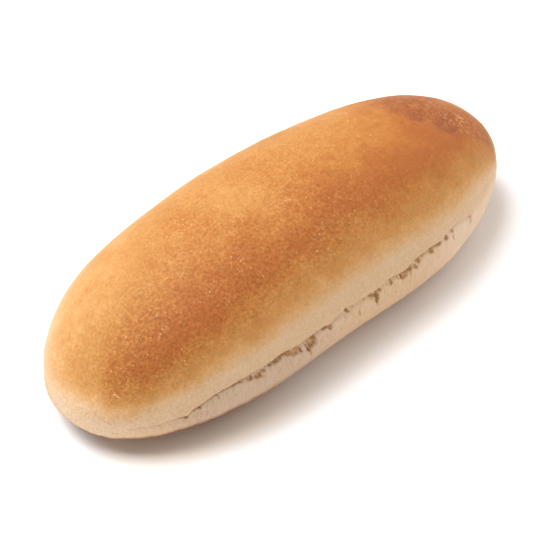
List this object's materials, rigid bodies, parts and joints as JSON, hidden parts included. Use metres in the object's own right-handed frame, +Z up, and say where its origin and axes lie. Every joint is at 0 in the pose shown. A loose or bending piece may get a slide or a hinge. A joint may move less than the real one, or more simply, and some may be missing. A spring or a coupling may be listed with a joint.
{
  "type": "hot dog bun",
  "caption": "Whole uncut soft roll with a flat sole, a domed browned crust and a ragged split low on each side, to hold a sausage once sliced.",
  "frame": {"origin": "centre of the bun's box at the underside of the flat sole", "axes": "+X along the bun to its far end, +Z up, and the longer side split faces -Y"},
  "size_m": [0.15, 0.06, 0.0445],
  "materials": {
    "crust": "soft baked crust, satin to matte, golden brown above and pale cream low on the sides"
  },
  "bodies": {
    "root": {"bun": "crust"}
  },
  "joints": []
}
